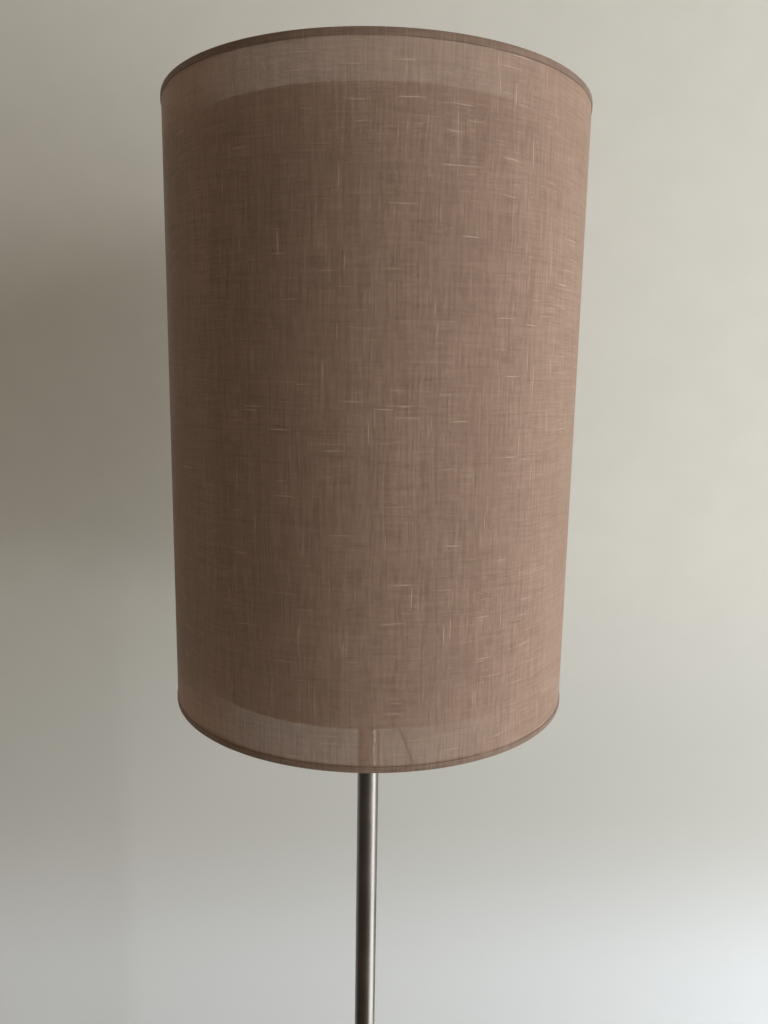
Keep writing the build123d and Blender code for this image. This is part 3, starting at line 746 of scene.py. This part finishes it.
wireFrame = {
    "hoopSides": 160,
    "wireSides": 12,
    "weldLength": 2.5 * mm,
    "weldSwell": 1.25,
    "hubHole": 20.6 * mm,
    "hubSheet": 1.5 * mm,
    "hubRound": 0.35 * mm,
    "hubSides": 96,
    "armWire": 1.5 * mm,
    "armSides": 20,
    "armPressedFrom": 8 * mm,   # the hub end of the wire is pressed flat over this last stretch
    "armPresses": [(5 * mm, 0.72), (3.4 * mm, 1.0)],
    "armIntoHoop": 1.4,         # the arm's end in the hoop, in radii of the hoop's wire
}


def makeHoop(name, node, weldAngle):
    low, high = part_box(node)
    wire = (high.z - low.z) / 2
    ringRadius = high.x - wire
    middle = (low.z + high.z) / 2
    startFresh()
    bpy.ops.mesh.primitive_torus_add(location=(0, 0, middle), major_radius=ringRadius, minor_radius=wire,
                                     major_segments=wireFrame["hoopSides"],
                                     minor_segments=wireFrame["wireSides"])
    hoop = takeNew(name)
    # the butt weld where the wire's ends meet
    weld = Vector((ringRadius * cos(radians(weldAngle)), ringRadius * sin(radians(weldAngle)), middle))
    reach = max(wireFrame["weldLength"], ringRadius * pi / wireFrame["hoopSides"]) + wire
    editOnly(hoop, "VERT", lambda vertex: (vertex.co - weld).length < reach)
    bpy.ops.transform.resize(value=(1, 1, wireFrame["weldSwell"]), center_override=weld)
    leaveEdit()
    finishPiece(hoop, "frameWhite", "shade", node, 60)


def makeHub(name, node, rimUp):
    low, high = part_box(node)
    sheet, rim, hole = wireFrame["hubSheet"], high.x, wireFrame["hubHole"]
    flat, far = (low.z, high.z) if rimUp else (high.z, low.z)
    way = 1 if rimUp else -1
    points = [(hole, flat), (rim, flat), (rim, far), (rim - sheet, far), (rim - sheet, flat + way * sheet),
              (hole, flat + way * sheet)]
    hub = turnOnLathe(name, points, sides=wireFrame["hubSides"])
    roundEdges(hub, wireFrame["hubRound"])
    finishPiece(hub, "frameWhite", "shade", node)


def makeArm(name, node, hubNode, hoopNode):
    # a straight wire, its hub end pressed flat before it is welded
    low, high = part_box(node)
    hoopLow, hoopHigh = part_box(hoopNode)
    hubLow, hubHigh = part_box(hubNode)
    centre = (low + high) / 2
    azimuth = atan2(centre.y, centre.x)
    wire = wireFrame["armWire"]
    hoopWire = (hoopHigh.z - hoopLow.z) / 2
    out = Vector((cos(azimuth), sin(azimuth), 0))
    start = out * hubHigh.x + Vector((0, 0, (hubLow.z + hubHigh.z) / 2))
    end = out * (hoopHigh.x - wireFrame["armIntoHoop"] * hoopWire)
    end += Vector((0, 0, (hoopLow.z + hoopHigh.z) / 2))
    along = end - start
    startFresh()
    bpy.ops.mesh.primitive_cylinder_add(vertices=wireFrame["armSides"], radius=wire, depth=along.length,
                                        location=(start + end) / 2,
                                        rotation=along.to_track_quat("Z", "Y").to_euler())
    arm = takeNew(name)
    editOnly(arm, "FACE", lambda face: len(face.vertices) > 4 and (face.center - start).length < wire)
    bpy.ops.transform.translate(value=along.normalized() * wireFrame["armPressedFrom"])
    for reach, flatten in wireFrame["armPresses"]:
        bpy.ops.mesh.extrude_region_move(TRANSFORM_OT_translate={"value": -along.normalized() * reach})
        bpy.ops.transform.resize(value=(1, 1, flatten))
    leaveEdit()
    finishPiece(arm, "frameWhite", "shade", node, 40)


for layer, weldAngle in (("outer", 96), ("inner", 84)):
    makeHoop(f"{layer}BottomHoop", f"{layer}_bottom_hoop", weldAngle)
    makeHoop(f"{layer}TopHoop", f"{layer}_top_hoop", weldAngle)
makeHub("outerHub", "outer_hub", False)
makeHub("innerHub", "inner_hub", True)
for number in (1, 2, 3):
    for layer in ("outer", "inner"):
        makeArm(f"{layer}Arm{number}", f"{layer}_arm_{number}", f"{layer}_hub", f"{layer}_bottom_hoop")
print("wire frames made")


pole = {"wall": 1.5 * mm, "brokenEdge": 0.35 * mm, "sides": 96}


def makePole(name, node):
    low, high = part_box(node)
    outer, inner, edge = high.x, high.x - pole["wall"], pole["brokenEdge"]
    points = [(inner, low.z), (outer - edge, low.z), (outer, low.z + edge), (outer, high.z - edge),
              (outer - edge, high.z), (inner, high.z)]
    tube = turnOnLathe(name, points, sides=pole["sides"])
    finishPiece(tube, "pole", "stand", node, 30)


foot = {
    "sheet": 1.2 * mm,
    "shoulderBelowTop": 9 * mm,
    "edgeInset": 6 * mm,
    "edgeBelowTop": 3 * mm,
    "edgeSteps": 8,
    "domeSteps": 14,
    "flatRadius": 24 * mm,
    "hole": 5.4 * mm,
    "sides": 192,
}


def makeFootCover():
    low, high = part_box("base_cover")
    shoulder = high.z - foot["shoulderBelowTop"]

    def dome(inset):
        # up the wall, round the edge and over a shallow dome to the flat under the pole
        wall, edge = high.x - inset, high.x - foot["edgeInset"]
        edgeHeight = high.z - foot["edgeBelowTop"] - inset
        line = [(wall, low.z), (wall, shoulder)]
        for step in range(1, foot["edgeSteps"] + 1):
            turn = radians(90 * step / foot["edgeSteps"])
            line.append((edge + (wall - edge) * cos(turn), shoulder + (edgeHeight - shoulder) * sin(turn)))
        for step in range(1, foot["domeSteps"] + 1):
            share = step / foot["domeSteps"]
            line.append((edge + (foot["flatRadius"] - edge) * share,
                         edgeHeight + foot["edgeBelowTop"] * (1 - (1 - share) ** 2)))
        return line + [(foot["hole"], high.z - inset)]

    cover = turnOnLathe("footCover", dome(0) + dome(foot["sheet"])[::-1], sides=foot["sides"])
    finishPiece(cover, "foot", "stand", "base_cover", 30)


floorPad = {"hole": 60 * mm, "edgeRound": 0.6 * mm, "sides": 160}


def makeFloorPad():
    low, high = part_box("floor_pad")
    points = [(floorPad["hole"], low.z), (high.x, low.z), (high.x, high.z), (floorPad["hole"], high.z)]
    pad = turnOnLathe("floorPad", points, sides=floorPad["sides"])
    roundEdges(pad, floorPad["edgeRound"])
    finishPiece(pad, "foam", "stand", "floor_pad")


poleCollar = {
    "bore": 10.1 * mm,
    "neck": 12.6 * mm,
    "flangeHeight": 2.5 * mm,
    "chamfer": (1.2 * mm, 1.3 * mm),
    "cove": 5.2 * mm,
    "coveHeight": 9 * mm,
    "edgeRound": 0.4 * mm,
    "sides": 96,
}


def makeCollar():
    low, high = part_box("pole_collar")
    bore, flange = poleCollar["bore"], high.x
    brim = low.z + poleCollar["flangeHeight"]
    inset, rise = poleCollar["chamfer"]
    cove = arcOfPoints((flange - inset, low.z + poleCollar["coveHeight"]), poleCollar["cove"], -90, -180)
    points = [(bore, low.z), (flange, low.z), (flange, brim), (flange - inset, brim + rise), *cove[1:],
              (poleCollar["neck"], high.z), (bore, high.z)]
    collar = turnOnLathe("poleCollar", points, sides=poleCollar["sides"])
    roundEdges(collar, poleCollar["edgeRound"])
    finishPiece(collar, "foot", "stand", "pole_collar")


makePole("lowerPole", "lower_pole")
makePole("upperPole", "upper_pole")
makeFootCover()
makeFloorPad()
makeCollar()
print("pole and foot made")


holder = {
    "nippleBore": 5.1 * mm,
    "domeWall": 2.0 * mm,
    "domeEdgeRound": 0.3 * mm,
    "neckRadius": 12 * mm,
    "neckChamfer": 1 * mm,
    "neckHeight": 5 * mm,
    "flare": 9 * mm,
    "flareHeight": 14 * mm,
    "floorHeight": 9 * mm,
    "socketInset": 3.5 * mm,
    "socketDepth": 5 * mm,
    "skirtBore": 17.8 * mm,
    "flangeRound": 0.8 * mm,
    "flangeHeight": 4 * mm,
    "threadRadius": 20 * mm,
    "threadPitch": 2.5 * mm,
    "threadDepth": 0.9 * mm,
    "seatHeight": 1.5 * mm,
    "threadStart": 2 * mm,
    "threadEnd": 3 * mm,
    "sides": 96,
}


def makeHolderDome():
    low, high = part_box("holder_dome")
    wide, neck, wall, bottom = high.x, holder["neckRadius"], holder["domeWall"], low.z
    bore, floor = holder["nippleBore"], bottom + holder["floorHeight"]
    socket = wide - holder["socketInset"]
    step = high.z - holder["socketDepth"]
    flare = arcOfPoints((wide - holder["flare"], bottom + holder["flareHeight"]), holder["flare"], -70, 0)
    points = [(bore, bottom), (neck - holder["neckChamfer"], bottom), (neck, bottom + holder["neckChamfer"]),
              (neck, bottom + holder["neckHeight"]), *flare, (wide, step), (socket, step), (socket, high.z),
              (socket - wall, high.z), (socket - wall, step - wall / 2), (wide - wall, step - wall),
              (wide - wall, bottom + holder["flareHeight"] + wall), (neck - wall, floor), (bore, floor)]
    dome = turnOnLathe("holderDome", points, sides=holder["sides"])
    roundEdges(dome, holder["domeEdgeRound"], segments=2, angle=40)
    finishPiece(dome, "holderBlack", "stand", "holder_dome")


def makeHolderSkirt():
    # a broad flange that carries the hubs, and the rolled thread above it
    low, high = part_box("holder_skirt")
    flange, edge, bore = high.x, holder["flangeRound"], holder["skirtBore"]
    seat = low.z + holder["flangeHeight"]
    crest, root = holder["threadRadius"], holder["threadRadius"] - holder["threadDepth"]
    pitch = holder["threadPitch"]
    points = [(bore, low.z), *arcOfPoints((flange - edge, low.z + edge), edge, -90, 0, 4),
              *arcOfPoints((flange - edge, seat - edge), edge, 0, 90, 4), (crest, seat),
              (crest, seat + holder["seatHeight"])]
    # one turn of the thread: radius, and its share of the pitch
    turn = [(root, 0), (root + 0.2 * mm, 0.14), (crest - 0.1 * mm, 0.4), (crest, 0.5),
            (crest - 0.1 * mm, 0.6), (root + 0.2 * mm, 0.86)]
    height = seat + holder["threadStart"]
    while height + pitch < high.z - holder["threadEnd"]:
        points += [(radius, height + share * pitch) for radius, share in turn]
        height += pitch
    points += [(root, height), (root, high.z - 0.5 * mm), (root - 0.5 * mm, high.z), (bore, high.z)]
    skirt = turnOnLathe("holderSkirt", points, sides=holder["sides"])
    finishPiece(skirt, "holderBlack", "stand", "holder_skirt", 40)


def drawInGrips(piece, making, rim, onRim):
    # turned with six columns to each grip; those near its middle are drawn in
    step = 360 / making["grips"]

    def inGrip(vertex):
        turned = degrees(atan2(vertex.co.y, vertex.co.x)) % step
        return onRim(vertex.co) and abs(turned - step / 2) < step * making["gripShare"]

    editOnly(piece, "VERT", inGrip)
    inward = 1 - making["gripDepth"] / rim
    bpy.ops.transform.resize(value=(inward, inward, 1), center_override=(0, 0, 0))
    leaveEdit()


clampRing = {
    "bore": 20.35 * mm,
    "grips": 24,
    "gripShare": 0.2,
    "gripDepth": 1.0 * mm,
    "bevel": 0.7 * mm,
}


def makeClampRing():
    low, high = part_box("retaining_ring")
    points = [(clampRing["bore"], low.z), (high.x, low.z), (high.x, high.z), (clampRing["bore"], high.z)]
    ring = turnOnLathe("clampRing", points, sides=clampRing["grips"] * 6)
    drawInGrips(ring, clampRing, high.x, lambda place: place.xy.length > high.x - 0.1 * mm)
    roundEdges(ring, clampRing["bevel"], angle=60)
    finishPiece(ring, "holderBlack", "retaining_ring", "retaining_ring", 30)


knob = {
    "azimuth": -18.5,
    "grips": 16,
    "gripShare": 0.1,
    "gripDepth": 0.55 * mm,
    "gripStart": 2.4 * mm,
    "gripEnd": 0.5 * mm,
    "start": 22 * mm,
    "end": 35 * mm,
    "radius": 6.5 * mm,
    "shaftRadius": 2.5 * mm,
    "shaftDepth": 9 * mm,
    "chamfer": 0.4 * mm,
    "smoothBand": (2.2 * mm, 2.6 * mm),
    "sideEnd": 1.6 * mm,
    "endRound": 1.2 * mm,
    "dishRim": (2.2 * mm, 2.9 * mm),
    "dish": 0.7 * mm,
}


def makeKnob():
    low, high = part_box("switch_knob")
    radius, start, end = knob["radius"], knob["start"], knob["end"]
    chamfer, curve, shaft = knob["chamfer"], knob["endRound"], knob["shaftRadius"]
    dishFloor = end - knob["dish"]
    rimInside, dishEdge = knob["dishRim"]
    points = [(0, start + knob["shaftDepth"]), (shaft, start + knob["shaftDepth"]), (shaft, start),
              (radius - chamfer, start), (radius, start + chamfer),
              *((radius, start + along) for along in knob["smoothBand"]), (radius, end - knob["sideEnd"]),
              *arcOfPoints((radius - curve, end - curve), curve, 0, 90, 5),
              (radius - rimInside, end), (radius - dishEdge, dishFloor), (0, dishFloor)]
    piece = turnOnLathe("switchKnob", points, sides=knob["grips"] * 6, closed=False)

    def onRim(place):
        gripped = start + knob["gripStart"] < place.z < end - knob["gripEnd"]
        return gripped and place.xy.length > radius - 0.8 * mm

    drawInGrips(piece, knob, radius, onRim)
    # laid down so that its length points away from the pole
    piece.rotation_euler = (0, radians(90), radians(knob["azimuth"]))
    piece.location = (0, 0, (low.z + high.z) / 2)
    pickOnly(piece)
    bpy.ops.object.transform_apply(location=True, rotation=True, scale=True)
    finishPiece(piece, "holderBlack", "switch_knob", "switch_knob", 40)


bulb = {
    "sides": 112,
    "globeWall": 1.2 * mm,
    "globeSteps": 40,
    "collarWall": 2 * mm,
    "collarNeck": 14.2 * mm,
    "collarBore": 11.65 * mm,
    "collarStraight": 4 * mm,
    "collarSteps": 16,
    "capDepth": 0.95 * mm,
    "capWall": 0.5 * mm,
    "threadPitch": 3.62 * mm,
    "threads": 5,
    "threadSteps": 12,
}


def makeGlobe():
    low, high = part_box("bulb_globe")
    centre = high.z - high.x

    def shell(radius):
        # from the globe's open end up to its crown, which lies on the centreline exactly
        dip = -degrees(asin((centre - low.z) / radius))
        points = arcOfPoints((0, centre), radius, dip, 90, bulb["globeSteps"])
        return points[:-1] + [(0, points[-1][1])]

    outer, inner = shell(high.x), shell(high.x - bulb["globeWall"])
    globe = turnOnLathe("opalGlobe", outer + inner[::-1] + outer[:1], sides=bulb["sides"], closed=False)
    finishPiece(globe, "opal", "bulb", "bulb_globe", 40)


def makeBulbCollar():
    low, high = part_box("bulb_collar")
    wide, neck, bore = high.x, bulb["collarNeck"], bulb["collarBore"]
    bend = low.z + bulb["collarStraight"]
    rise = high.z - bend

    def flare(start, end):
        # a curve that leaves the neck straight up and opens towards the globe
        line = []
        for step in range(bulb["collarSteps"] + 1):
            share = step / bulb["collarSteps"]
            line.append((start + (end - start) * (1 - cos(share * pi / 2)) ** 0.8, bend + rise * share))
        return line

    outside, inside = flare(neck, wide), flare(bore, wide - bulb["collarWall"])
    points = [(bore, low.z), (neck, low.z), *outside, *inside[::-1]]
    collar = turnOnLathe("bulbHousing", points, sides=bulb["sides"])
    finishPiece(collar, "housing", "bulb", "bulb_collar")


def makeBulbCap():
    low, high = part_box("bulb_cap")
    crest, root = high.x, high.x - bulb["capDepth"]
    middle, bore = (crest + root) / 2, root - bulb["capWall"]
    wave = []
    for step in range(bulb["threads"] * bulb["threadSteps"] + 1):
        turns = step / bulb["threadSteps"]
        wave.append((middle - (crest - root) / 2 * sin(2 * pi * turns), low.z + bulb["threadPitch"] * turns))
    cap = turnOnLathe("bulbCap", wave + [(middle, high.z), (bore, high.z), (bore, low.z)], sides=bulb["sides"])
    finishPiece(cap, "rolledMetal", "bulb", "bulb_cap", 50)


makeHolderDome()
makeHolderSkirt()
makeClampRing()
makeKnob()
makeGlobe()
makeBulbCollar()
makeBulbCap()
print("holder, ring, knob and bulb made")


cameraPlace = {
    "away": 0.716,
    "aboveShadeBottom": 0.2862,
    "tiltDown": 9.74,
    "panRight": 0.9,
    "roll": 0.94,
    "lens": 28.125,
    "sensor": 36,
    "clipStart": 0.02,
}


def placeCamera():
    startFresh()
    height = shadeBottom + cameraPlace["aboveShadeBottom"]
    bpy.ops.object.camera_add(location=(0, -cameraPlace["away"], height))
    camera = bpy.context.object
    turn = Matrix.Rotation(radians(-cameraPlace["panRight"]), 4, "Z")
    tilt = Matrix.Rotation(radians(90 - cameraPlace["tiltDown"]), 4, "X")
    roll = Matrix.Rotation(radians(cameraPlace["roll"]), 4, "Z")
    camera.rotation_euler = (turn @ tilt @ roll).to_euler()
    camera.data.sensor_width = cameraPlace["sensor"]
    camera.data.lens = cameraPlace["lens"]
    camera.data.clip_start = cameraPlace["clipStart"]
    bpy.context.scene.camera = camera


stage = {
    "wallBehind": 0.3,
    "wallSize": 8,
    "wallMiddle": 2.0,
    "wallColour": (0.56, 0.57, 0.54),
    "floorSize": 12,
    "floorColour": (0.62, 0.66, 0.71),
    "paintRoughness": 0.85,
    "paintGrain": 2.0,
    "paintDepth": 0.05 * mm,
    "paintSpecular": 0.2,
    # painted shade: below the window's sill the wall is painted darker, standing in for the light that the
    # sill cuts off
    "underSill": (0.48, 0.495, 0.48, 1),    # the wall below the window's sill gets less of its light
    "underSillHeights": (1.15, 0.8),
    # painted light: near the floor the wall is painted paler and cooler, standing in for light thrown up from
    # the floor
    "nearFloor": (0.61, 0.655, 0.69, 1),    # and close to the floor it takes the floor's cooler light
    "nearFloorHeights": (0.77, 0.48),
}


def makeStagePlane(name, size, location, rotation, colour):
    startFresh()
    bpy.ops.mesh.primitive_plane_add(size=size, location=location, rotation=rotation)
    plane = bpy.context.object
    plane.name = name
    cloudy = [part * 0.97 for part in colour]
    giveMaterial(plane, makeSkin(name + "Paint", colour, cloudy, stage["paintRoughness"], stage["paintGrain"],
                                 stage["paintDepth"], specular=stage["paintSpecular"]))
    return plane


def openFromBehind(plane):
    # from behind, the wall lets the camera see through it
    tree = plane.data.materials[0].node_tree
    clear = addNode(tree, "ShaderNodeBsdfTransparent")
    side = addNode(tree, "ShaderNodeNewGeometry")
    mixed = mixShaders(tree, side.outputs["Backfacing"], tree.nodes["Principled BSDF"].outputs[0],
                       clear.outputs[0])
    tree.links.new(mixed, tree.nodes["Material Output"].inputs["Surface"])


def paintWallLightAndShade(plane):
    # the plane stands upright, so its own Y is the height, counted from its middle
    tree = plane.data.materials[0].node_tree
    paint = tree.nodes["Principled BSDF"].inputs["Base Color"]
    split = splitVector(tree, objectPlace(tree))
    height = mathNode(tree, "ADD", split["Y"], plane.location.z)
    tint = paint.links[0].from_socket
    # painted shade below the sill, then painted cooler light near the floor
    for part in ("underSill", "nearFloor"):
        tint = mixColours(tree, rangeNode(tree, height, *stage[part + "Heights"]), tint, stage[part])
    tree.links.new(tint, paint)


lights = {
    "windowSide": 66,           # degrees round from the front to the right
    "windowAway": 3.2,
    "windowHeight": 1.45,
    "windowSize": (2.1, 2.8),
    "windowPower": 143,
    "windowColour": (1.0, 0.985, 0.96),
    "floorGlowSide": 77,
    "floorGlowAway": 1.6,
    "floorGlowHeight": 0.01,
    "floorGlowSize": (0.75, 2.0),
    "floorGlowPower": 7.5,
    "floorGlowColour": (0.93, 0.98, 1.0),
    "backFillPlace": (-0.95, 2.6, 2.1),
    "backFillSize": (1.8, 1.8),
    "backFillPower": 32,
    "backFillColour": (1.0, 0.99, 0.97),
    "roomBelow": (0.03, 0.026, 0.022, 1),
    "roomBeside": (0.16, 0.15, 0.135, 1),
    "roomBehind": (0.22, 0.215, 0.2, 1),
    "roomAbove": (0.405, 0.312, 0.218, 1),
    "roomSeen": (0.62, 0.62, 0.6, 1),
}


def addSoftbox(name, location, aim):
    startFresh()
    bpy.ops.object.light_add(type="AREA", location=location)
    lamp = bpy.context.object
    lamp.name = name
    lamp.data.shape = "RECTANGLE"
    lamp.data.size, lamp.data.size_y = lights[name + "Size"]
    lamp.data.energy = lights[name + "Power"]
    lamp.data.color = lights[name + "Colour"]
    lamp.rotation_euler = (Vector(aim) - Vector(location)).to_track_quat("-Z", "Y").to_euler()
    lamp.visible_camera = False
    return lamp


def addWindow():
    away, side = lights["windowAway"], radians(lights["windowSide"])
    addSoftbox("window", (away * sin(side), -away * cos(side), lights["windowHeight"]),
               (0, 0, (shadeBottom + shadeTop) / 2))


def addFloorGlow():
    # daylight lying on the floor beside the window, which shines straight up
    away, side = lights["floorGlowAway"], radians(lights["floorGlowSide"])
    place = (away * sin(side), -away * cos(side), lights["floorGlowHeight"])
    glow = addSoftbox("floorGlow", place, (*place[:2], 1))
    glow.rotation_euler = (pi, 0, side)


def addBackFill():
    # lights the lamp alone, from behind, so that its far side isn't lost in the dark
    fill = addSoftbox("backFill", lights["backFillPlace"], (0, 0, 1))
    lampPieces = bpy.data.collections.new("lampPieces")
    for piece in bpy.data.objects:
        if piece.type == "MESH" and piece not in (backWall, paleFloor):
            lampPieces.objects.link(piece)
    fill.light_linking.receiver_collection = lampPieces
    fill.light_linking.blocker_collection = lampPieces


def lightRoom():
    # a dim room: darkest below, paler beside and behind, and warm above
    world = bpy.data.worlds.new("studioRoom")
    bpy.context.scene.world = world
    world.use_nodes = True
    tree = world.node_tree
    split = splitVector(tree, addNode(tree, "ShaderNodeTexCoord").outputs["Generated"])
    beside = rangeNode(tree, split["X"], -0.1, 0.9)
    behind = rangeNode(tree, split["Y"], 0.0, 0.5)
    above = rangeNode(tree, split["Z"], -0.2, 0.35)
    glow = mixColours(tree, beside, lights["roomBelow"], lights["roomBeside"])
    glow = mixColours(tree, behind, glow, lights["roomBehind"])
    glow = mixColours(tree, above, glow, lights["roomAbove"])
    seen = addNode(tree, "ShaderNodeLightPath").outputs["Is Camera Ray"]
    tree.links.new(mixColours(tree, seen, glow, lights["roomSeen"]), tree.nodes["Background"].inputs["Color"])


placeCamera()
backWall = makeStagePlane("backWall", stage["wallSize"], (0, stage["wallBehind"], stage["wallMiddle"]),
                          (radians(90), 0, 0), stage["wallColour"])
paintWallLightAndShade(backWall)
openFromBehind(backWall)
paleFloor = makeStagePlane("paleFloor", stage["floorSize"], (0, 0, 0), (0, 0, 0), stage["floorColour"])
# polished metal mirrors the room's light and not these two
backWall.visible_glossy = False
paleFloor.visible_glossy = False
addWindow()
addFloorGlow()
addBackFill()
lightRoom()
bpy.context.scene.view_settings.view_transform = "Standard"
print("stage lit")
